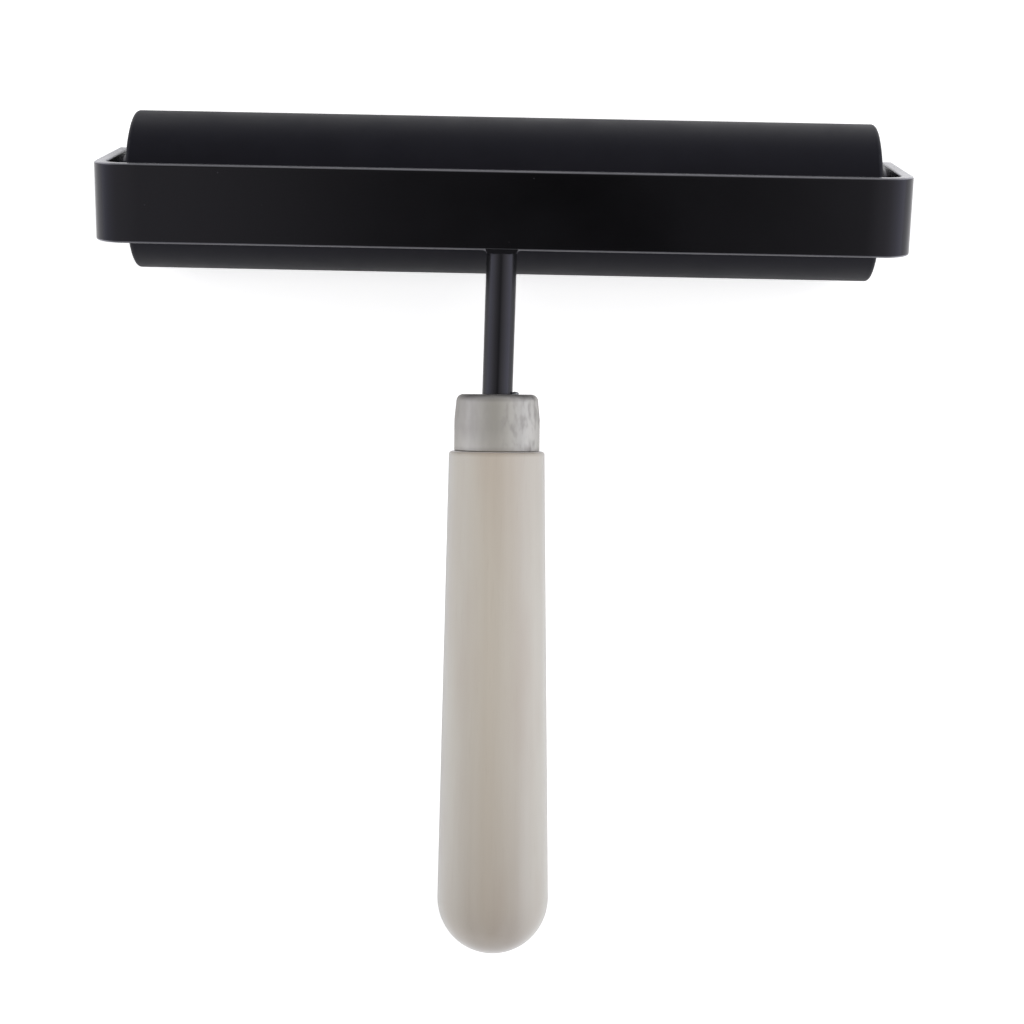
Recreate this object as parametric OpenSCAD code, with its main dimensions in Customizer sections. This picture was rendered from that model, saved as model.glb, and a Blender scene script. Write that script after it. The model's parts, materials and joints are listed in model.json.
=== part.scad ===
// Rubber brayer: a rubber-covered roller on a fixed axle, carried by a bent strap frame,
// with a raked steel rod, a drawn ferrule and a turned wooden grip.
// The pieces are drawn round the roller's axis: X runs along the roller, Y across the strap
// and away from the handle, Z out through the frame's back. at_rest() then lays the brayer
// down on its rubber and on the end of its grip.

/* [Roller] */
// Length of the rubber face
roller_length = 150; // [80:1:250]
// Outer diameter of the rubber
roller_diameter = 31.8; // [30:0.2:50]
// Thickness of the rubber on its core
rubber_wall = 5.4; // [3:0.2:7]
// Rounding of the rubber's two rims
rubber_rim = 0.8; // [0.2:0.1:2]
// Wall of the core tube
core_wall = 2; // [1.4:0.1:3]

/* [Bearings] */
// Diameter of the fixed axle
axle_diameter = 8; // [6:0.5:9]
// Length of each bush inside the core
bush_depth = 12; // [6:1:20]
// Thickness of the bush flange
bush_flange = 1.2; // [0.8:0.1:2]
// How far the flange laps the end of the core
bush_lip = 1; // [0.4:0.1:1.2]
// Diameter of the spacer between each leg and the axle
spacer_diameter = 14; // [11:0.5:18]
// Thickness of that spacer
spacer_thickness = 1; // [0.6:0.1:2]
// Gap between axle and bush, on the radius
running_clearance = 0.05; // [0.02:0.01:0.1]
// Sideways play between each flange and its spacer
end_play = 0.4; // [0.1:0.1:0.8]
// Gap between pressed or glued pieces, on the radius
seat_clearance = 0.02; // [0.01:0.01:0.05]

/* [Frame] */
// Width of the strap
strap_width = 15.4; // [14:0.1:22]
// Thickness of the strap
strap_thickness = 2.5; // [2:0.1:3.5]
// Rounding along the strap's edges
strap_edge = 0.45; // [0.1:0.05:0.6]
// Outer radius of the two bends
bend_radius = 6; // [4:0.1:8]
// Clear gap between the rubber and the back of the frame
back_gap = 6.1; // [4.5:0.1:12]
// How far the legs reach past the axle
leg_reach = 9.4; // [8:0.1:12]
// Rounding of the legs' free corners
leg_corner = 2.5; // [0.5:0.1:5]

/* [Axle screws] */
// Thread diameter
screw_diameter = 4; // [3:0.5:4.5]
// Length under the head
screw_length = 14; // [10:1:24]
// Diameter of the low pan head
screw_head = 8; // [7:0.2:10]
// Height of the low pan head
screw_head_height = 1.9; // [1.6:0.1:3.6]
// Rounding of the head's rim
screw_head_round = 1; // [0.4:0.1:1.4]
// Span of the cross recess
recess_span = 4.4; // [3:0.1:5]
// Width of the recess's slots
recess_slot = 1; // [0.6:0.1:1.4]
// Depth of the recess
recess_depth = 1.1; // [0.8:0.1:1.6]
// Gap round the screw in the legs and washers, on the radius
hole_clearance = 0.15; // [0.05:0.05:0.3]
// Diameter of the split lock washer
lock_washer_diameter = 7.6; // [6:0.1:9]
// Thickness of the lock washer
lock_washer_thickness = 0.7; // [0.5:0.1:1.4]
// Width of the split
lock_washer_split = 0.8; // [0.4:0.1:1.5]

/* [Rod] */
// Rake of the handle, out from the plane of the frame's back
handle_rake = 12; // [4:0.5:24]
// Sideways lean of the rod, as it was welded
rod_lean = -0.7; // [-3:0.1:3]
// Diameter of the rod
rod_diameter = 6; // [5:0.1:7]
// Bare length between the frame and the ferrule
rod_length = 28.6; // [20:0.1:60]
// Length of the tang inside the ferrule and the grip
tang_length = 55; // [30:1:80]
// Length of the point on the tang
tang_point = 6; // [2:0.5:10]
// How far the rod's upper side lies below the frame's back where it meets the strap
rod_drop = 0.2; // [0:0.1:1]
// Reach of the weld round the rod, and out along it
weld_fillet = 0.6; // [0.4:0.1:1.4]
// Rounding of the weld's upper edges
weld_edge = 0.2; // [0.1:0.05:0.3]

/* [Ferrule] */
// Outer diameter
ferrule_diameter = 16.85; // [15:0.05:18]
// Length
ferrule_length = 11.2; // [8:0.1:16]
// Thickness of the sheet
ferrule_wall = 0.7; // [0.4:0.1:0.9]
// How much the closed end is drawn in, on the radius
ferrule_draw = 0.35; // [0.1:0.05:0.8]
// Length over which it is drawn in
ferrule_taper = 5; // [3:0.5:7]
// Rounding of the closed end
ferrule_round = 1.4; // [1:0.1:2]
// Rounding of the open end's outer edge
ferrule_lip = 0.3; // [0.1:0.05:0.35]

/* [Grip] */
// Length of the wood beyond the ferrule
grip_length = 100.1; // [80:0.1:140]
// Diameter of the wood at the ferrule
grip_top = 18.9; // [18:0.1:24]
// Diameter of the rounded butt
grip_butt = 22.1; // [20:0.1:28]
// Rounding of the shoulder at the ferrule
grip_shoulder = 0.6; // [0.2:0.1:0.7]
// Sideways lean of the grip, as it was driven on
grip_lean = 0.6; // [-3:0.1:3]

/* [Hidden] */
$fn = 96;

roller_radius = roller_diameter / 2;
core_radius = roller_radius - rubber_wall;
core_bore = core_radius - core_wall;
bush_bore = axle_diameter / 2 + running_clearance;

// Half widths of the frame, from the stack of pieces on the axle
axle_half = roller_length / 2 + bush_flange + end_play;
inner_half = axle_half + spacer_thickness;
outer_half = inner_half + strap_thickness;

// Heights of the frame's back above the roller's axis
back_inner = roller_radius + back_gap;
back_outer = back_inner + strap_thickness;
bend_centre = back_outer - bend_radius;

screw_seat = outer_half + lock_washer_thickness;
screw_hole = screw_diameter / 2 + hole_clearance;
tapped_hole = screw_diameter / 2 + seat_clearance;
screw_tip = screw_length - lock_washer_thickness - strap_thickness - spacer_thickness;

// Height at which the rod's axis leaves the strap's edge
rod_radius = rod_diameter / 2;
rod_height = back_outer - rod_drop - rod_radius / cos(handle_rake);
weld_radius = rod_radius + weld_fillet;
// How far the weld runs into the rounding of the strap's edge
weld_seat = 0.7 * strap_edge;
tang_hole = rod_radius + seat_clearance;

// Where the centre of the butt lies, from the roller's axis
butt_radius = grip_butt / 2;
butt_along = rod_length * cos(rod_lean) + (ferrule_length + grip_length - butt_radius) * cos(grip_lean);
butt_back = strap_width / 2 + butt_along * cos(handle_rake);
butt_up = rod_height + butt_along * sin(handle_rake);
butt_distance = norm([butt_back, butt_up]);

// Tilt that brings the butt and the rubber down to one surface, and the shift that centres the whole
rest_tilt = atan2(butt_up, butt_back) + asin((roller_radius - butt_radius) / butt_distance);
rest_back = butt_back * cos(rest_tilt) + butt_up * sin(rest_tilt) + butt_radius;
rest_shift = (rest_back - roller_radius) / 2;

// How far a cutting shape runs past what it cuts
past = 1;

enamel_black = "#1d1d1e";
rubber_black = "#2b2b2e";
nickel_grey = "#b4afac";
bare_wood = "#c3bbb0";
zinc_grey = "#a9acae";
steel_grey = "#8d9093";
nylon_black = "#232324";

// Placing

module at_rest() {
    translate([0, rest_shift, roller_radius])
        rotate([rest_tilt, 0, 0])
            children();
}

// Local Z runs along the roller's axis, out of the end on the given side
module on_axle(side, distance) {
    rotate([0, side * 90, 0])
        translate([0, 0, distance])
            children();
}

// Local Z runs down the rod from the strap's edge, local Y out from the frame's back
module on_rod() {
    translate([0, -strap_width / 2, rod_height])
        rotate([90 - handle_rake, 0, 0])
            rotate([0, rod_lean, 0])
                children();
}

// Local Z runs down the grip from the closed end of the ferrule
module on_grip() {
    on_rod()
        translate([0, 0, rod_length])
            rotate([0, grip_lean - rod_lean, 0])
                children();
}

// Shared shapes

// Rectangle with rounded corners, its lower left corner at the origin
module rounded_bar(width, height, corner) {
    translate([corner, 0])
        square([width - 2 * corner, height]);
    translate([0, corner])
        square([width, height - 2 * corner]);
    for (x = [corner, width - corner], y = [corner, height - corner])
        translate([x, y])
            circle(corner);
}

module ring(outer, inner, height) {
    difference() {
        cylinder(r = outer, h = height);
        translate([0, 0, -past])
            cylinder(r = inner, h = height + 2 * past);
    }
}

// Half section of the ferrule, set in by a wall, without the rounding of its open end; the tenon uses it too
module cap_section(inset, length) {
    outer = ferrule_diameter / 2 - inset;
    corner_x = ferrule_diameter / 2 - ferrule_draw - ferrule_round;
    translate([0, inset])
        square([corner_x, length - inset]);
    translate([corner_x, ferrule_round])
        circle(ferrule_round - inset);
    polygon([
        [0, ferrule_round],
        [outer - ferrule_draw, ferrule_round],
        [outer, ferrule_taper],
        [outer, length],
        [0, length]
    ]);
}

// What a rounding takes off an outer corner, drawn round the centre of the rounding
module corner_waste(radius) {
    difference() {
        square(radius + past);
        circle(radius);
    }
}

// Frame

// The strap's section, thickness along X from the given inner face, width centred on Y
module strap_section(inner_face) {
    translate([inner_face, -strap_width / 2])
        rounded_bar(strap_thickness, strap_width, strap_edge);
}

module strap_leg() {
    intersection() {
        translate([0, 0, -leg_reach])
            linear_extrude(leg_reach + bend_centre)
                strap_section(inner_half);
        translate([inner_half, -strap_width / 2, -leg_reach])
            rotate([90, 0, 90])
                linear_extrude(strap_thickness)
                    rounded_bar(strap_width, leg_reach + bend_centre + leg_corner, leg_corner);
    }
}

module strap_bend() {
    translate([outer_half - bend_radius, 0, bend_centre])
        rotate([90, 0, 0])
            rotate_extrude(angle = 90)
                strap_section(bend_radius - strap_thickness);
}

module strap_back() {
    back_half = outer_half - bend_radius;
    translate([-back_half, 0, 0])
        rotate([90, 0, 90])
            linear_extrude(2 * back_half)
                translate([-strap_width / 2, back_inner])
                    rounded_bar(strap_width, strap_thickness, strap_edge);
}

module frame_strap() {
    color(enamel_black) at_rest() difference() {
        union() {
            strap_back();
            for (side = [0, 1])
                mirror([side, 0, 0]) {
                    strap_bend();
                    strap_leg();
                }
        }
        for (side = [-1, 1])
            on_axle(side, inner_half - past)
                cylinder(r = screw_hole, h = strap_thickness + 2 * past);
    }
}

// Rod and handle

// Half section of the hollow that a fillet leaves beside the rod, flared where the weld's upper edge is rounded
module fillet_hollow(height) {
    intersection() {
        square([weld_fillet + weld_edge, height + past]);
        union() {
            square([weld_fillet, height + past]);
            translate([weld_fillet + weld_edge, height - weld_edge])
                mirror([1, 0])
                    corner_waste(weld_edge);
        }
    }
}

// Weld on top of the rod, filled up to the frame's back and into the rounding of the strap's edge
module weld_top() {
    height = back_outer - rod_height;
    difference() {
        translate([-weld_radius, -weld_fillet, 0])
            cube([2 * weld_radius, weld_fillet + weld_seat, height]);
        for (side = [-1, 1])
            translate([side * weld_radius, -weld_fillet, 0])
                rotate_extrude()
                    fillet_hollow(height);
    }
}

// Weld round the underside: a fillet on the rod, and a dome where it laps the strap's inner face
module weld_under() {
    difference() {
        rotate([90, 0, 0])
            rotate_extrude() {
                difference() {
                    square([weld_radius, weld_fillet]);
                    translate([weld_radius, weld_fillet])
                        circle(weld_fillet);
                }
                intersection() {
                    circle(weld_radius);
                    translate([0, -weld_radius])
                        square(weld_radius);
                }
            }
        translate([-2 * weld_radius, -2 * weld_radius, 0])
            cube(4 * weld_radius);
    }
}

module weld() {
    translate([0, -strap_width / 2, rod_height]) {
        weld_top();
        weld_under();
    }
}

module handle_rod() {
    shaft_length = rod_length + tang_length - tang_point;
    color(enamel_black) at_rest() difference() {
        union() {
            weld();
            on_rod() {
                cylinder(r = rod_radius, h = shaft_length);
                translate([0, 0, shaft_length])
                    cylinder(r1 = rod_radius, r2 = rod_radius / 4, h = tang_point);
            }
        }
        strap_back();
    }
}

module ferrule() {
    color(nickel_grey) at_rest() difference() {
        on_grip()
            rotate_extrude()
                difference() {
                    cap_section(0, ferrule_length);
                    cap_section(ferrule_wall, ferrule_length + past);
                    translate([ferrule_diameter / 2 - ferrule_lip, ferrule_length - ferrule_lip])
                        corner_waste(ferrule_lip);
                }
        on_rod()
            translate([0, 0, rod_length - 2 * past])
                cylinder(r = tang_hole, h = ferrule_wall + 4 * past);
    }
}

// Half section of the wood: tenon, shoulder, straight taper and round butt
module grip_section() {
    shoulder_y = ferrule_length + grip_shoulder;
    butt_y = ferrule_length + grip_length - butt_radius;
    shoulder_x = grip_top / 2 - grip_shoulder;
    cap_section(ferrule_wall + seat_clearance, ferrule_length);
    translate([0, ferrule_length])
        square([shoulder_x, 2 * grip_shoulder]);
    translate([shoulder_x, shoulder_y])
        circle(grip_shoulder);
    polygon([[0, shoulder_y], [grip_top / 2, shoulder_y], [butt_radius, butt_y], [0, butt_y]]);
    intersection() {
        translate([0, butt_y])
            circle(butt_radius);
        translate([0, butt_y])
            square(butt_radius);
    }
}

module handle_grip() {
    color(bare_wood) at_rest() difference() {
        on_grip()
            rotate_extrude()
                grip_section();
        on_rod()
            translate([0, 0, rod_length - past])
                cylinder(r = tang_hole, h = tang_length + 2 * past);
    }
}

// Roller and axle

module axle() {
    color(steel_grey) at_rest() difference() {
        on_axle(1, -axle_half)
            cylinder(r = axle_diameter / 2, h = 2 * axle_half);
        for (side = [-1, 1])
            on_axle(side, axle_half - screw_tip - past)
                cylinder(r = tapped_hole, h = screw_tip + 2 * past);
    }
}

module roller_core() {
    color(zinc_grey) at_rest()
        on_axle(1, -roller_length / 2)
            ring(core_radius, core_bore, roller_length);
}

module rubber_cover() {
    color(rubber_black) at_rest()
        on_axle(1, -roller_length / 2)
            rotate_extrude()
                difference() {
                    translate([-roller_radius, 0])
                        rounded_bar(2 * roller_radius, roller_length, rubber_rim);
                    translate([-roller_diameter, -past])
                        square([roller_diameter + core_radius + seat_clearance, roller_length + 2 * past]);
                }
}

module end_bush(side) {
    color(nylon_black) at_rest() difference() {
        union() {
            on_axle(side, roller_length / 2 - bush_depth)
                cylinder(r = core_bore - seat_clearance, h = bush_depth);
            on_axle(side, roller_length / 2)
                cylinder(r = core_bore + bush_lip, h = bush_flange);
        }
        on_axle(side, roller_length / 2 - bush_depth - past)
            cylinder(r = bush_bore, h = bush_depth + bush_flange + 2 * past);
    }
}

module spacer(side) {
    color(enamel_black) at_rest()
        on_axle(side, axle_half)
            ring(spacer_diameter / 2, screw_hole, spacer_thickness);
}

module lock_washer(side) {
    color(zinc_grey) at_rest()
        on_axle(side, outer_half)
            difference() {
                ring(lock_washer_diameter / 2, screw_hole, lock_washer_thickness);
                translate([0, -lock_washer_split / 2, -past])
                    cube([lock_washer_diameter, lock_washer_split, lock_washer_thickness + 2 * past]);
            }
}

module pan_head() {
    radius = screw_head / 2;
    difference() {
        rotate_extrude()
            intersection() {
                square([radius, screw_head_height]);
                union() {
                    square([radius, screw_head_height - screw_head_round]);
                    square([radius - screw_head_round, screw_head_height]);
                    translate([radius - screw_head_round, screw_head_height - screw_head_round])
                        circle(screw_head_round);
                }
            }
        translate([0, 0, screw_head_height - recess_depth])
            intersection() {
                for (turn = [0, 90])
                    rotate(turn)
                        translate([-recess_span / 2, -recess_slot / 2, 0])
                            cube([recess_span, recess_slot, recess_depth + past]);
                cylinder(r1 = recess_span / 4, r2 = recess_span / 2, h = recess_depth + past);
            }
    }
}

module axle_screw(side) {
    chamfer = screw_diameter / 8;
    color(zinc_grey) at_rest()
        on_axle(side, screw_seat) {
            pan_head();
            translate([0, 0, chamfer - screw_length])
                cylinder(r = screw_diameter / 2, h = screw_length - chamfer);
            translate([0, 0, -screw_length])
                cylinder(r1 = screw_diameter / 2 - chamfer, r2 = screw_diameter / 2, h = chamfer);
        }
}

frame_strap();
handle_rod();
ferrule();
handle_grip();
axle();
roller_core();
rubber_cover();
end_bush(-1);  // left_end_bush
end_bush(1);  // right_end_bush
spacer(-1);  // left_spacer
spacer(1);  // right_spacer
lock_washer(-1);  // left_lock_washer
lock_washer(1);  // right_lock_washer
axle_screw(-1);  // left_axle_screw
axle_screw(1);  // right_axle_screw
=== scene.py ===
import json
import math

import bmesh
import bpy
from mathutils import Matrix, Vector, noise


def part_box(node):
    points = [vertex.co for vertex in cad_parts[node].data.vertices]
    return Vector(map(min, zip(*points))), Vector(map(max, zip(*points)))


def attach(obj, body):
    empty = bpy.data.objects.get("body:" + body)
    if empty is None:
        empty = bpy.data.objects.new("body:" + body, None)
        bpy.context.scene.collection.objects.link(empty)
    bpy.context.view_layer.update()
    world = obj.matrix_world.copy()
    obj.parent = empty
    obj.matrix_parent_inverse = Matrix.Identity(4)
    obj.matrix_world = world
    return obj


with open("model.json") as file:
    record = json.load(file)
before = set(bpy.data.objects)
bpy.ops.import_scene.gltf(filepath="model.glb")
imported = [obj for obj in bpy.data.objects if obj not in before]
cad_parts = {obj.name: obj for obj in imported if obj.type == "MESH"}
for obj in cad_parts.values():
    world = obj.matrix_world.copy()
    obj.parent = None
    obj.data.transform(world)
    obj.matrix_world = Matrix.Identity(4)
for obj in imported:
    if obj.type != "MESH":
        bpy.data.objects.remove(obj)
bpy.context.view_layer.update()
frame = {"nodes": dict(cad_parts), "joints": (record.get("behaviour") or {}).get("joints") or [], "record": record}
nodes = frame["nodes"]
mounts = {mount["name"]: mount for mount in frame["record"]["mounts"]}
scene = bpy.context.scene
mm = 0.001
print("frame loaded:", len(nodes), "solids")


# where the handle, the roller and the frame's back lie, read from the frame
gripLow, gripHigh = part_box("handle_grip")
buttRadius = (gripHigh.x - gripLow.x) / 2
buttCentre = Vector(((gripLow.x + gripHigh.x) / 2, gripLow.y + buttRadius, gripLow.z + buttRadius))
ferruleCentre = sum(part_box("ferrule"), Vector()) / 2
gripAxis = (buttCentre - ferruleCentre).normalized()
gripTurn = gripAxis.to_track_quat("Z", "Y").to_euler()
rollerCentre = Vector(frame["joints"][0]["pos_m"])
backCentre = Vector(mounts["frame_back"]["pos_m"])
backTurn = Vector(mounts["frame_back"]["axis"]).to_track_quat("Z", "Y").to_euler()
rodRadius = mounts["rod_neck"]["dims"]["r_mm"] * mm

colourA, colourB, mixed = 6, 7, 2   # the colour sockets of a Mix node
noiseLow, noiseHigh = 0.3, 0.7      # the levels that a noise seldom leaves


def linear(hexColour):
    channels = [int(hexColour[i:i + 2], 16) / 255 for i in (1, 3, 5)]
    return [c / 12.92 if c <= 0.04045 else ((c + 0.055) / 1.055) ** 2.4 for c in channels] + [1]


def addNode(tree, kind, inputs=None, stops=None, **settings):
    node = tree.nodes.new("ShaderNode" + kind)
    for name, value in settings.items():
        setattr(node, name, value)
    for socket, value in (inputs or {}).items():
        if isinstance(value, bpy.types.NodeSocket):
            tree.links.new(value, node.inputs[socket])
        else:
            node.inputs[socket].default_value = value
    if stops:
        elements = node.color_ramp.elements
        elements.remove(elements[0])   # one element has to stay, and it becomes the last stop
        for place, colour in stops[:-1]:
            elements.new(place).color = colour
        elements[-1].color = stops[-1][1]
    return node


def startMaterial(name, constants):
    material = bpy.data.materials.new(name)
    material.use_nodes = True
    tree = material.node_tree
    tree.nodes.clear()
    shader = addNode(tree, "BsdfPrincipled", constants)
    addNode(tree, "OutputMaterial", {"Surface": shader.outputs["BSDF"]})
    place = addNode(tree, "TexCoord").outputs["Object"]
    return material, tree, shader, place


def connect(tree, shader, outputs):
    for socket, output in outputs.items():
        tree.links.new(output, shader.inputs[socket])


# rows of a place in mm and a colour, as the two ends in metres and the stops of a ramp between them
def bandsAcross(rows):
    first, last = rows[0][0], rows[-1][0]
    stops = [((where - first) / (last - first), linear(colour)) for where, colour in rows]
    return first * mm, last * mm, stops


# satin baked enamel on mild steel: near black, a soft cool sheen, a faint orange peel and a few dust specks;
# on the strap a pale line along the edges, partly a thinned coat and partly a painted highlight, brighter as a
# painted reflection on the legs, and the flat turns a little before each bend; painted highlights on the weld's
# corners
enamel = dict(
    strapColour="#040404", rodColour="#1a1a1c", bloom="#070708", bloomSize=22,
    ior=1.44, specularTint=(0.86, 0.84, 1, 1), roughLow=0.17, roughHigh=0.22,
    peelSize=1.4, peelDepth=0.0012,
    speck="#2c2c2f", speckSpacing=3, speckSize=0.18, speckShare=0.25,
    edge="#6a6a6d", edgeDull="#545457", edgePatch=9,
    strapHalf=7.7, edgeWidth=0.26, edgeShift=0.06, edgeFade=0.09,
    legHighlight="#94949a", legFrom=75.5, legTo=78.5,
    weldFrom=3.05, weldTo=3.25, weldLow=-1.1, weldHigh=-0.5,
    bendFrom=74.1, easeLength=4.2, easeCurve=3, easeDrop=0.1,
)


def blackEnamel(name, colour, wearAndHighlight):
    material, tree, shader, place = startMaterial(
        name, {"IOR": enamel["ior"], "Specular Tint": enamel["specularTint"]})
    bloom = addNode(tree, "TexNoise", {
        "Vector": place, "Scale": 1 / (enamel["bloomSize"] * mm), "Detail": 3,
    }).outputs["Fac"]
    rough = addNode(tree, "MapRange", {
        "Value": bloom, "From Min": noiseLow, "From Max": noiseHigh,
        "To Min": enamel["roughLow"], "To Max": enamel["roughHigh"],
    })
    tint = addNode(tree, "Mix", {
        "Factor": bloom, colourA: linear(colour), colourB: linear(enamel["bloom"]),
    }, data_type="RGBA")
    cells = addNode(tree, "TexVoronoi", {
        "Vector": place, "Scale": 1 / (enamel["speckSpacing"] * mm),
    })
    reach = enamel["speckSize"] / enamel["speckSpacing"]
    near = addNode(tree, "MapRange", {
        "Value": cells.outputs["Distance"], "From Min": reach, "From Max": reach / 2,
    })
    chosen = addNode(tree, "Math", {
        0: cells.outputs["Color"], 1: 1 - enamel["speckShare"],
    }, operation="GREATER_THAN")
    specks = addNode(tree, "Math", {
        0: near.outputs["Result"], 1: chosen.outputs["Value"],
    }, operation="MULTIPLY")
    coat = addNode(tree, "Mix", {
        "Factor": specks.outputs["Value"], colourA: tint.outputs[mixed], colourB: linear(enamel["speck"]),
    }, data_type="RGBA")
    backPlace = addNode(tree, "Mapping", {
        "Vector": place, "Location": backCentre, "Rotation": backTurn,
    }, vector_type="TEXTURE")
    local = addNode(tree, "SeparateXYZ", {"Vector": backPlace.outputs["Vector"]}).outputs
    outwards = addNode(tree, "Math", {0: local["X"]}, operation="ABSOLUTE").outputs["Value"]
    peel = addNode(tree, "TexNoise", {
        "Vector": place, "Scale": 1 / (enamel["peelSize"] * mm), "Detail": 1,
    })
    bump = addNode(tree, "Bump", {
        "Height": peel.outputs["Fac"], "Distance": enamel["peelDepth"] * mm, "Strength": 1,
    })
    # painted highlight on the top corners of the weld, where the rod meets the strap's edge
    if wearAndHighlight == "weld":
        corner = addNode(tree, "MapRange", {
            "Value": outwards, "From Min": enamel["weldFrom"] * mm, "From Max": enamel["weldTo"] * mm,
        })
        upper = addNode(tree, "MapRange", {
            "Value": local["Z"], "From Min": enamel["weldLow"] * mm, "From Max": enamel["weldHigh"] * mm,
            "To Max": corner.outputs["Result"],
        })
        coat = addNode(tree, "Mix", {
            "Factor": upper.outputs["Result"], colourA: coat.outputs[mixed], colourB: linear(enamel["edge"]),
        }, data_type="RGBA")
    # a pale line painted along the strap's edges: partly a thinned coat, partly a painted highlight
    if wearAndHighlight == "edges":
        lower = addNode(tree, "Math", {0: local["Y"], 1: enamel["edgeShift"] * mm}, operation="SUBTRACT")
        aside = addNode(tree, "Math", {0: lower.outputs["Value"]}, operation="ABSOLUTE")
        paleLineFrom = enamel["strapHalf"] - enamel["edgeWidth"]
        paleLineMask = addNode(tree, "MapRange", {
            "Value": aside.outputs["Value"],
            "From Min": (paleLineFrom - enamel["edgeFade"]) * mm, "From Max": paleLineFrom * mm,
        }, interpolation_type="SMOOTHSTEP")
        patch = addNode(tree, "TexNoise", {
            "Vector": place, "Scale": 1 / (enamel["edgePatch"] * mm), "Detail": 2,
        })
        paleLine = addNode(tree, "Mix", {
            "Factor": patch.outputs["Fac"],
            colourA: linear(enamel["edge"]), colourB: linear(enamel["edgeDull"]),
        }, data_type="RGBA")
        # a brighter painted reflection on the edge faces of the legs
        legHighlightMask = addNode(tree, "MapRange", {
            "Value": outwards, "From Min": enamel["legFrom"] * mm, "From Max": enamel["legTo"] * mm,
        })
        paleLineAndLegHighlight = addNode(tree, "Mix", {
            "Factor": legHighlightMask.outputs["Result"],
            colourA: paleLine.outputs[mixed], colourB: linear(enamel["legHighlight"]),
        }, data_type="RGBA")
        coat = addNode(tree, "Mix", {
            "Factor": paleLineMask.outputs["Result"], colourA: coat.outputs[mixed], colourB: paleLineAndLegHighlight.outputs[mixed],
        }, data_type="RGBA")
        easeFrom = enamel["bendFrom"] - enamel["easeLength"]
        eased = addNode(tree, "MapRange", {
            "Value": outwards, "From Min": easeFrom * mm, "From Max": enamel["bendFrom"] * mm,
        })
        drop = addNode(tree, "Math", {
            0: eased.outputs["Result"], 1: enamel["easeCurve"],
        }, operation="POWER")
        turning = addNode(tree, "Bump", {
            "Height": drop.outputs["Value"], "Distance": enamel["easeDrop"] * mm, "Strength": 1,
        }, invert=True)
        tree.links.new(turning.outputs["Normal"], bump.inputs["Normal"])
    connect(tree, shader, {
        "Base Color": coat.outputs[mixed], "Roughness": rough.outputs["Result"],
        "Normal": bump.outputs["Normal"],
    })
    return material


# black nitrile rubber ground on its core: matte, slightly blue, with fine rings left by the stone
rubber = dict(
    colour="#0c0c10", bloom="#15151a", bloomSize=9, bloomRough=0.6,
    ior=1.5, specular=0.16, specularTint=(0.83, 0.81, 1, 1), roughLow=0.44, roughHigh=0.51,
    ringWidth=0.7, ringReach=60, ringDepth=0.004,   # real rings are about 0.1 mm apart, drawn wider to show
)


def groundRubber():
    material, tree, shader, place = startMaterial("black_rubber_ground", {
        "IOR": rubber["ior"], "Specular IOR Level": rubber["specular"],
        "Specular Tint": rubber["specularTint"],
    })
    bloom = addNode(tree, "TexNoise", {
        "Vector": place, "Scale": 1 / (rubber["bloomSize"] * mm), "Detail": 4,
        "Roughness": rubber["bloomRough"],
    }).outputs["Fac"]
    tint = addNode(tree, "Mix", {
        "Factor": bloom, colourA: linear(rubber["colour"]), colourB: linear(rubber["bloom"]),
    }, data_type="RGBA")
    rough = addNode(tree, "MapRange", {
        "Value": bloom, "From Min": noiseLow, "From Max": noiseHigh,
        "To Min": rubber["roughLow"], "To Max": rubber["roughHigh"],
    })
    ringPlace = addNode(tree, "Mapping", {
        "Vector": place, "Location": rollerCentre,
        "Scale": (rubber["ringWidth"] * mm, rubber["ringReach"] * mm, rubber["ringReach"] * mm),
    }, vector_type="TEXTURE")
    rings = addNode(tree, "TexNoise", {"Vector": ringPlace.outputs["Vector"], "Scale": 1, "Detail": 2})
    bump = addNode(tree, "Bump", {
        "Height": rings.outputs["Fac"], "Distance": rubber["ringDepth"] * mm, "Strength": 1,
    })
    connect(tree, shader, {
        "Base Color": tint.outputs[mixed], "Roughness": rough.outputs["Result"],
        "Normal": bump.outputs["Normal"],
    })
    return material


# pale hardwood, turned, sanded and rubbed with a little wax: chalky, whiter at a glance along it, with faint
# streaks, pores and smudges; painted sheen and shade greyer on its flanks; painted shade at the ferrule and the
# butt
wood = dict(
    across=((-11, "#d1cfc7"), (-6.5, "#c8c2b6"), (-1, "#ccc4b7"), (5, "#c1bbb1"), (11, "#c9c7bf")),
    roughness=0.6, sheen=1.0, sheenRough=0.4, wax=1.0, waxRough=0.36,
    streak="#f1eee9", streakWidth=2.6, streakLength=70, streakWander=0.3,
    smudge="#f3ece9", smudgeWidth=8, smudgeLength=34, smudgeFrom=0.45, smudgeTo=0.7, smudgeShare=0.5,
    pore="#f1efec", poreWidth=0.3, poreLength=5, poreFrom=0.6, poreTo=0.85, poreShare=0.4, poreDepth=0.008,
    buttShade="#d6d2d0", buttShadeFrom=-100, buttShadeTo=10, buttShadeCurve=3.3, buttShadeWide=10, buttShadeNarrow=3, buttShadeSides=0.55,
    joint="#dcd6d0", jointFrom=-88.1, jointTo=-88.9,
    tip="#e3e0de", tipFrom=6, tipTo=11,
)


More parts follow.
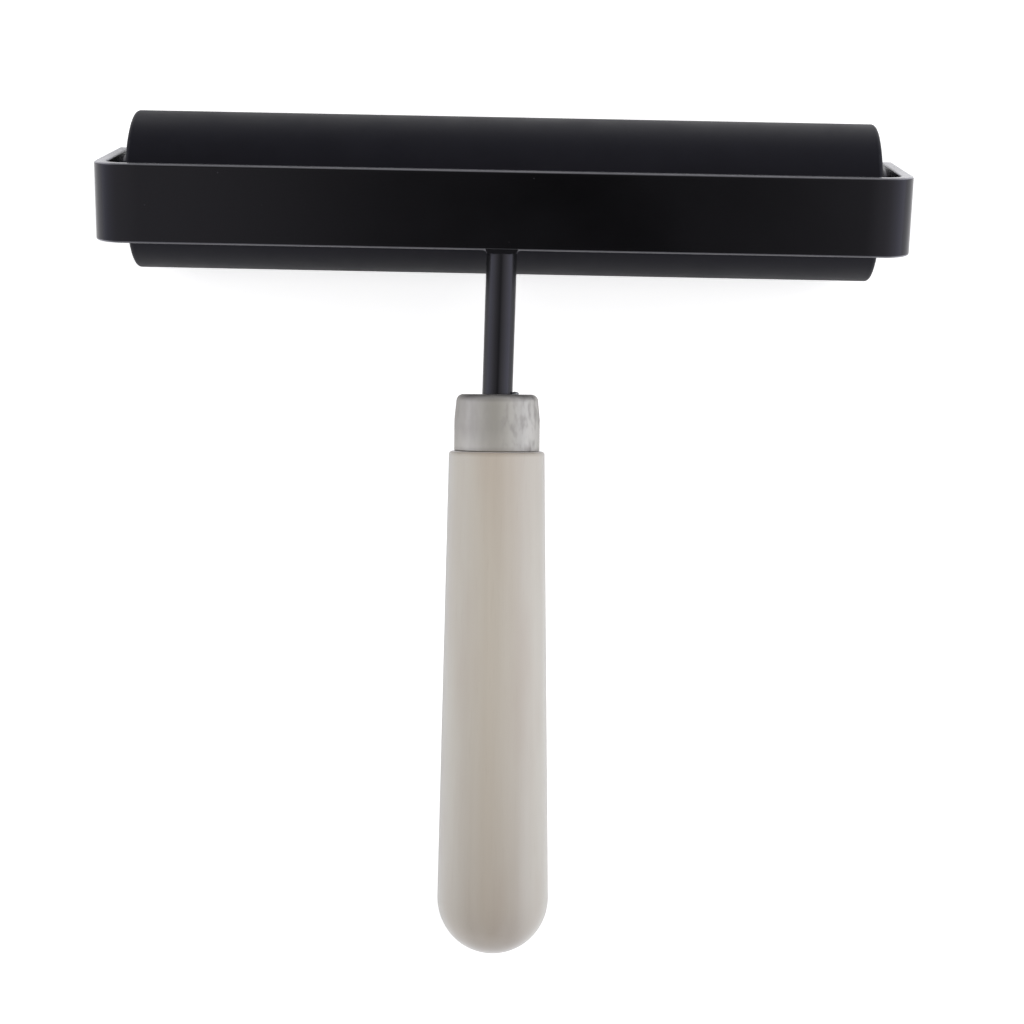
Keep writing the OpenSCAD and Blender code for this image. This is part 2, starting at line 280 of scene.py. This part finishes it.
def bareWood():
    material, tree, shader, place = startMaterial("pale_wood_waxed", {
        "Roughness": wood["roughness"],
        "Sheen Weight": wood["sheen"], "Sheen Roughness": wood["sheenRough"],
        "Coat Weight": wood["wax"], "Coat Roughness": wood["waxRough"],
    })
    grainPlace = {}
    for mark in ("streak", "smudge", "pore"):
        width, length = wood[mark + "Width"] * mm, wood[mark + "Length"] * mm
        grainPlace[mark] = addNode(tree, "Mapping", {
            "Vector": place, "Location": buttCentre, "Rotation": gripTurn, "Scale": (width, width, length),
        }, vector_type="TEXTURE").outputs["Vector"]
    streaks = addNode(tree, "TexNoise", {
        "Vector": grainPlace["streak"], "Scale": 1, "Detail": 3, "Distortion": wood["streakWander"],
    })
    smudges = addNode(tree, "TexNoise", {"Vector": grainPlace["smudge"], "Scale": 1, "Detail": 2})
    pores = addNode(tree, "TexNoise", {"Vector": grainPlace["pore"], "Scale": 1, "Detail": 1})
    smudged = addNode(tree, "MapRange", {
        "Value": smudges.outputs["Fac"],
        "From Min": wood["smudgeFrom"], "From Max": wood["smudgeTo"], "To Max": wood["smudgeShare"],
    })
    pitted = addNode(tree, "MapRange", {
        "Value": pores.outputs["Fac"],
        "From Min": wood["poreFrom"], "From Max": wood["poreTo"], "To Max": wood["poreShare"],
    })
    gripPlace = addNode(tree, "Mapping", {
        "Vector": place, "Location": buttCentre, "Rotation": gripTurn,
    }, vector_type="TEXTURE")
    local = addNode(tree, "SeparateXYZ", {"Vector": gripPlace.outputs["Vector"]}).outputs
    # painted sheen and shade: the colour changes in bands across the grip, paler and greyer at its flanks
    first, last, stops = bandsAcross(wood["across"])
    sideways = addNode(tree, "MapRange", {"Value": local["X"], "From Min": first, "From Max": last})
    pale = addNode(tree, "ValToRGB", {"Fac": sideways.outputs["Result"]}, stops)
    # painted shade: darker at the ferrule, towards the butt and on the butt's end
    along = {}
    for mark in ("buttShade", "joint", "tip"):
        along[mark] = addNode(tree, "MapRange", {
            "Value": local["Z"], "From Min": wood[mark + "From"] * mm, "From Max": wood[mark + "To"] * mm,
        }).outputs["Result"]
    deeper = addNode(tree, "Math", {0: along["buttShade"], 1: wood["buttShadeCurve"]}, operation="POWER")
    aside = addNode(tree, "Math", {0: local["X"]}, operation="ABSOLUTE")
    inButtShade = addNode(tree, "MapRange", {
        "Value": aside.outputs["Value"],
        "From Min": wood["buttShadeWide"] * mm, "From Max": wood["buttShadeNarrow"] * mm, "To Min": wood["buttShadeSides"],
    }, interpolation_type="SMOOTHSTEP")
    buttShaded = addNode(tree, "Math", {
        0: deeper.outputs["Value"], 1: inButtShade.outputs["Result"],
    }, operation="MULTIPLY")
    tint = pale.outputs["Color"]
    for share, mark in (
        (streaks.outputs["Fac"], "streak"), (smudged.outputs["Result"], "smudge"),
        (pitted.outputs["Result"], "pore"), (buttShaded.outputs["Value"], "buttShade"),
        (along["joint"], "joint"), (along["tip"], "tip"),
    ):
        tint = addNode(tree, "Mix", {
            "Factor": share, colourA: tint, colourB: linear(wood[mark]),
        }, data_type="RGBA", blend_type="MULTIPLY").outputs[mixed]
    bump = addNode(tree, "Bump", {
        "Height": pores.outputs["Fac"], "Distance": wood["poreDepth"] * mm, "Strength": 1,
    })
    connect(tree, shader, {"Base Color": tint, "Normal": bump.outputs["Normal"]})
    return material


# dull nickel on drawn sheet: a soft grey mirror with lengthwise draw marks, smudged on the thumb's side; painted
# reflections in bands across it and paler towards its mouth on the other side; painted shade on the closed end and
# at the mouth
nickel = dict(
    across=((-8, "#aeaba7"), (-4.8, "#a6a39f"), (-0.5, "#b4b1ab"), (4.6, "#a9a7a3"), (7.2, "#c0beba")),
    roughLow=0.52, roughHigh=0.62, drawWidth=0.35, drawLength=9, drawDepth=0.0015,
    smudge="#9a9794", smudgeWidth=1.5, smudgeLength=3.2, smudgeWander=0.2, smudgeFrom=0.48, smudgeTo=0.76,
    thumbFrom=0.5, thumbTo=2.5,
    flare="#d4d1cc", flareFrom=1, flareTo=4.6, flareShare=0.3,
    endShade="#6f6c6b", endFrom=-4.1, endTo=-4.7, endShare=0.3, cornerFrom=7.4, cornerTo=5.6,
    mouthFrom=4.3, mouthTo=5.4, mouthShare=0.3,
)


def drawnNickel():
    material, tree, shader, place = startMaterial("nickel_sheet_drawn", {"Metallic": 1})
    sheetPlace = {}
    for mark in ("draw", "smudge"):
        width, length = nickel[mark + "Width"] * mm, nickel[mark + "Length"] * mm
        sheetPlace[mark] = addNode(tree, "Mapping", {
            "Vector": place, "Location": ferruleCentre, "Rotation": gripTurn,
            "Scale": (width, width, length),
        }, vector_type="TEXTURE").outputs["Vector"]
    smudges = addNode(tree, "TexNoise", {
        "Vector": sheetPlace["smudge"], "Scale": 1, "Detail": 2, "Distortion": nickel["smudgeWander"],
    }).outputs["Fac"]
    draw = addNode(tree, "TexNoise", {"Vector": sheetPlace["draw"], "Scale": 1, "Detail": 2})
    worldX = addNode(tree, "SeparateXYZ", {"Vector": place}).outputs["X"]
    sideways = addNode(tree, "Math", {0: worldX, 1: ferruleCentre.x}, operation="SUBTRACT").outputs["Value"]
    ferrulePlace = addNode(tree, "Mapping", {
        "Vector": place, "Location": ferruleCentre, "Rotation": gripTurn,
    }, vector_type="TEXTURE")
    along = addNode(tree, "SeparateXYZ", {"Vector": ferrulePlace.outputs["Vector"]}).outputs["Z"]
    # painted reflection: the colour changes in bands across the ferrule
    first, last, stops = bandsAcross(nickel["across"])
    spread = addNode(tree, "MapRange", {"Value": sideways, "From Min": first, "From Max": last})
    plate = addNode(tree, "ValToRGB", {"Fac": spread.outputs["Result"]}, stops)
    thumbSide = addNode(tree, "MapRange", {
        "Value": sideways, "From Min": nickel["thumbFrom"] * mm, "From Max": nickel["thumbTo"] * mm,
    }, interpolation_type="SMOOTHSTEP").outputs["Result"]
    # a painted paler reflection towards the mouth, on the side away from the thumb
    otherSide = addNode(tree, "MapRange", {
        "Value": thumbSide, "To Min": nickel["flareShare"], "To Max": 0,
    })
    paler = addNode(tree, "MapRange", {
        "Value": along, "From Min": nickel["flareFrom"] * mm, "From Max": nickel["flareTo"] * mm,
        "To Max": otherSide.outputs["Result"],
    })
    flared = addNode(tree, "Mix", {
        "Factor": paler.outputs["Result"], colourA: plate.outputs["Color"], colourB: linear(nickel["flare"]),
    }, data_type="RGBA")
    dirty = addNode(tree, "MapRange", {
        "Value": smudges, "From Min": nickel["smudgeFrom"], "From Max": nickel["smudgeTo"],
        "To Max": thumbSide,
    })
    smudged = addNode(tree, "Mix", {
        "Factor": dirty.outputs["Result"], colourA: flared.outputs[mixed], colourB: linear(nickel["smudge"]),
    }, data_type="RGBA")
    # painted shade on the closed end, less towards its rim, and in the crevice at the mouth
    aside = addNode(tree, "Math", {0: sideways}, operation="ABSOLUTE")
    inner = addNode(tree, "MapRange", {
        "Value": aside.outputs["Value"],
        "From Min": nickel["cornerFrom"] * mm, "From Max": nickel["cornerTo"] * mm,
        "To Max": nickel["endShare"],
    })
    closedEnd = addNode(tree, "MapRange", {
        "Value": along, "From Min": nickel["endFrom"] * mm, "From Max": nickel["endTo"] * mm,
        "To Max": inner.outputs["Result"],
    }, interpolation_type="SMOOTHSTEP")
    mouth = addNode(tree, "MapRange", {
        "Value": along, "From Min": nickel["mouthFrom"] * mm, "From Max": nickel["mouthTo"] * mm,
        "To Max": nickel["mouthShare"],
    })
    endShaded = addNode(tree, "Math", {
        0: closedEnd.outputs["Result"], 1: mouth.outputs["Result"],
    }, operation="MAXIMUM")
    tint = addNode(tree, "Mix", {
        "Factor": endShaded.outputs["Value"], colourA: smudged.outputs[mixed], colourB: linear(nickel["endShade"]),
    }, data_type="RGBA")
    rough = addNode(tree, "MapRange", {
        "Value": smudges, "From Min": noiseLow, "From Max": noiseHigh,
        "To Min": nickel["roughLow"], "To Max": nickel["roughHigh"],
    })
    bump = addNode(tree, "Bump", {
        "Height": draw.outputs["Fac"], "Distance": nickel["drawDepth"] * mm, "Strength": 1,
    })
    connect(tree, shader, {
        "Base Color": tint.outputs[mixed], "Roughness": rough.outputs["Result"],
        "Normal": bump.outputs["Normal"],
    })
    return material


# plain metals and the nylon of the bearings: each a base colour broken by a fine mottle
zinc = dict(
    name="zinc_plate_bright", light="#b3b6b8", dark="#8e9296", metallic=1,
    roughLow=0.28, roughHigh=0.42, mottleSize=0.8, mottleDepth=0.002,
)
steel = dict(
    name="steel_bar_drawn", light="#9a9da0", dark="#7c7f83", metallic=1,
    roughLow=0.25, roughHigh=0.38, mottleSize=0.6, mottleDepth=0.002,
)
tube = dict(
    name="aluminium_tube_drawn", light="#c2c4c6", dark="#a5a8ab", metallic=1,
    roughLow=0.3, roughHigh=0.45, mottleSize=0.7, mottleDepth=0.002,
)
nylon = dict(
    name="black_nylon_moulded", light="#262627", dark="#1d1d1e", metallic=0,
    roughLow=0.38, roughHigh=0.5, mottleSize=2.5, mottleDepth=0.002,
)


def mottled(kind):
    material, tree, shader, place = startMaterial(kind["name"], {"Metallic": kind["metallic"]})
    mottle = addNode(tree, "TexNoise", {
        "Vector": place, "Scale": 1 / (kind["mottleSize"] * mm), "Detail": 3,
    }).outputs["Fac"]
    tint = addNode(tree, "Mix", {
        "Factor": mottle, colourA: linear(kind["light"]), colourB: linear(kind["dark"]),
    }, data_type="RGBA")
    rough = addNode(tree, "MapRange", {
        "Value": mottle, "From Min": noiseLow, "From Max": noiseHigh,
        "To Min": kind["roughLow"], "To Max": kind["roughHigh"],
    })
    bump = addNode(tree, "Bump", {
        "Height": mottle, "Distance": kind["mottleDepth"] * mm, "Strength": 1,
    })
    connect(tree, shader, {
        "Base Color": tint.outputs[mixed], "Roughness": rough.outputs["Result"],
        "Normal": bump.outputs["Normal"],
    })
    return material


finishes = {
    "frame_strap": blackEnamel("black_enamel_strap", enamel["strapColour"], "edges"),
    "handle_rod": blackEnamel("black_enamel_rod", enamel["rodColour"], "weld"),
    "ferrule": drawnNickel(),
    "handle_grip": bareWood(),
    "rubber_cover": groundRubber(),
    "axle": mottled(steel),
    "roller_core": mottled(tube),
}
endFinishes = {
    "end_bush": mottled(nylon),
    "spacer": blackEnamel("black_enamel_washer", enamel["rodColour"], "nowhere"),
    "lock_washer": mottled(zinc),
}
endFinishes["axle_screw"] = endFinishes["lock_washer"]
for side in ("left", "right"):
    for piece, material in endFinishes.items():
        finishes[side + "_" + piece] = material
for name, material in finishes.items():
    nodes[name].data.materials.clear()
    nodes[name].data.materials.append(material)
print("materials on", len(finishes), "solids")


# a small lump of solder beside the rod on the ferrule's end, as the photo shows it
burr = dict(
    name="ferrule_burr", radius=0.6, wide=1.3, tall=0.8, roughness=0.16, lumpSize=0.5, detail=3,
    fromEnd=0.1, fromRod=0.45, upwards=0.9, ferruleLength=11.2,
)
shape = bmesh.new()
bmesh.ops.create_icosphere(shape, subdivisions=burr["detail"], radius=burr["radius"] * mm)
for vertex in shape.verts:
    vertex.co *= 1 + burr["roughness"] * noise.noise(vertex.co / (burr["lumpSize"] * mm)) / burr["radius"]
bmesh.ops.scale(shape, vec=(burr["wide"], 1, burr["tall"]), verts=shape.verts)
burrCentre = ferruleCentre - gripAxis * (burr["ferruleLength"] / 2 + burr["fromEnd"]) * mm
burrCentre += Vector((rodRadius + burr["fromRod"] * mm, 0, burr["upwards"] * mm))
bmesh.ops.transform(
    shape, matrix=Matrix.Translation(burrCentre) @ gripTurn.to_matrix().to_4x4(), verts=shape.verts)
for face in shape.faces:
    face.smooth = True
burrMesh = bpy.data.meshes.new(burr["name"])
shape.to_mesh(burrMesh)
shape.free()
burrPiece = bpy.data.objects.new(burr["name"], burrMesh)
scene.collection.objects.link(burrPiece)
burrMesh.materials.append(finishes["axle"])
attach(burrPiece, "frame")
print("burr added")


# camera, found by fitting the outline; the picture is square
camera = dict(
    place=(5.275, -43.795, 436.971), turn=(6.4095, 0.1797, 1.2018), lens=73.942, sensor=36, clip=10,
)
cameraData = bpy.data.cameras.new("camera")
cameraData.lens = camera["lens"]
cameraData.sensor_width = camera["sensor"]
cameraData.clip_start = camera["clip"] * mm
cameraObject = bpy.data.objects.new("camera", cameraData)
cameraObject.location = Vector(camera["place"]) * mm
cameraObject.rotation_euler = [math.radians(angle) for angle in camera["turn"]]
scene.collection.objects.link(cameraObject)
scene.camera = cameraObject


# a white tent, brighter at its sides and dim overhead, with a dark gap towards the handle that the flat
# black back mirrors; each row gives a direction's X and the light from there, first on the handle's side
studio = dict(
    towardsHandle=(
        (-1, 1.0), (-0.8, 0.95), (-0.5, 0.8), (-0.3, 0.75), (-0.17, 0.67), (-0.11, 0.43), (-0.07, 0.1),
        (-0.04, 0), (0.06, 0), (0.09, 0.08), (0.13, 0.26), (0.16, 0.42), (0.2, 0.72), (0.3, 0.8),
        (0.5, 1.02), (0.8, 1.35), (1, 1.65),
    ),
    towardsRoller=(
        (-1, 1.7), (-0.8, 1.5), (-0.4, 0.56), (-0.15, 0.2), (-0.02, 0.42), (0.1, 0.6), (0.2, 0.7),
        (0.4, 1.06), (0.8, 1.8), (1, 2),
    ),
    brightest=2,   # each light goes into its ramp as a share of this
    turnFrom=-0.35, turnTo=0.05,
    overhead=(1.02, 1, 0.95, 1), around=(0.97, 0.985, 1.07, 1), highest=0.95, lowest=0.3,
)
world = bpy.data.worlds.new("studio")
scene.world = world
world.use_nodes = True
tree = world.node_tree
tree.nodes.clear()
towards = addNode(tree, "SeparateXYZ", {"Vector": addNode(tree, "TexCoord").outputs["Generated"]}).outputs
across = addNode(tree, "MapRange", {"Value": towards["X"], "From Min": -1, "From Max": 1})
sides = []
for rows in (studio["towardsHandle"], studio["towardsRoller"]):
    stops = [((place + 1) / 2, [light / studio["brightest"]] * 3 + [1]) for place, light in rows]
    sides.append(addNode(tree, "ValToRGB", {"Fac": across.outputs["Result"]}, stops).outputs["Color"])
turn = addNode(tree, "MapRange", {
    "Value": towards["Y"], "From Min": studio["turnFrom"], "From Max": studio["turnTo"],
}, interpolation_type="SMOOTHSTEP")
level = addNode(tree, "MapRange", {
    "Value": turn.outputs["Result"], "To Min": sides[0], "To Max": sides[1],
})
power = addNode(tree, "Math", {
    0: level.outputs["Result"], 1: studio["brightest"],
}, operation="MULTIPLY")
height = addNode(tree, "MapRange", {
    "Value": towards["Z"], "From Min": studio["lowest"], "From Max": studio["highest"],
})
cast = addNode(tree, "Mix", {
    "Factor": height.outputs["Result"], colourA: studio["around"], colourB: studio["overhead"],
}, data_type="RGBA")
tent = addNode(tree, "Background", {"Color": cast.outputs[mixed], "Strength": power.outputs["Value"]})
backdrop = addNode(tree, "Background", {"Color": (1, 1, 1, 1), "Strength": 1})
sky = addNode(tree, "MixShader", {
    0: addNode(tree, "LightPath").outputs["Is Camera Ray"],
    1: tent.outputs["Background"], 2: backdrop.outputs["Background"],
})
addNode(tree, "OutputWorld", {"Surface": sky.outputs["Shader"]})


# white table: it shows paler than it is lit, and is paler in reflections too, most beyond the roller's ends
# and least behind the left half of the roller
table = dict(
    colour="#f6f6f6", size=3000, shownLift=0.6,
    mirrorFront=0.21, mirrorLeft=0.08, mirrorRight=0.42, mirrorFar=0.55, nearTo=80, farFrom=96, behind=20,
)
floorMesh = bpy.data.meshes.new("floor")
shape = bmesh.new()
bmesh.ops.create_grid(shape, x_segments=1, y_segments=1, size=table["size"] * mm)
shape.to_mesh(floorMesh)
shape.free()
floor = bpy.data.objects.new("floor", floorMesh)
scene.collection.objects.link(floor)
floorPaint = bpy.data.materials.new("white_table")
floorPaint.use_nodes = True
tree = floorPaint.node_tree
tree.nodes.clear()
paint = addNode(tree, "BsdfDiffuse", {"Color": linear(table["colour"])})
path = addNode(tree, "LightPath").outputs
shown = addNode(tree, "Math", {0: path["Is Camera Ray"], 1: table["shownLift"]}, operation="MULTIPLY")
spot = addNode(tree, "SeparateXYZ", {"Vector": addNode(tree, "TexCoord").outputs["Object"]}).outputs
outwards = addNode(tree, "Math", {0: spot["X"]}, operation="ABSOLUTE")
beneath = []
for side in ("mirrorLeft", "mirrorRight"):
    beneath.append(addNode(tree, "MapRange", {
        "Value": spot["Y"],
        "From Min": rollerCentre.y - table["behind"] * mm, "From Max": rollerCentre.y + table["behind"] * mm,
        "To Min": table["mirrorFront"], "To Max": table[side],
    }).outputs["Result"])
middle = addNode(tree, "MapRange", {
    "Value": spot["X"], "From Min": -table["nearTo"] * mm, "From Max": table["nearTo"] * mm,
    "To Min": beneath[0], "To Max": beneath[1],
})
mirrored = addNode(tree, "MapRange", {
    "Value": outwards.outputs["Value"], "From Min": table["nearTo"] * mm, "From Max": table["farFrom"] * mm,
    "To Min": middle.outputs["Result"], "To Max": table["mirrorFar"],
}, interpolation_type="SMOOTHSTEP")
lift = addNode(tree, "Math", {
    0: path["Is Glossy Ray"], 1: mirrored.outputs["Result"], 2: shown.outputs["Value"],
}, operation="MULTIPLY_ADD")
glow = addNode(tree, "Emission", {"Color": (1, 1, 1, 1), "Strength": lift.outputs["Value"]})
both = addNode(tree, "AddShader", {0: paint.outputs["BSDF"], 1: glow.outputs["Emission"]})
addNode(tree, "OutputMaterial", {"Surface": both.outputs["Shader"]})
floorMesh.materials.append(floorPaint)
print("camera, tent and table set")

scene.view_settings.view_transform = "Standard"
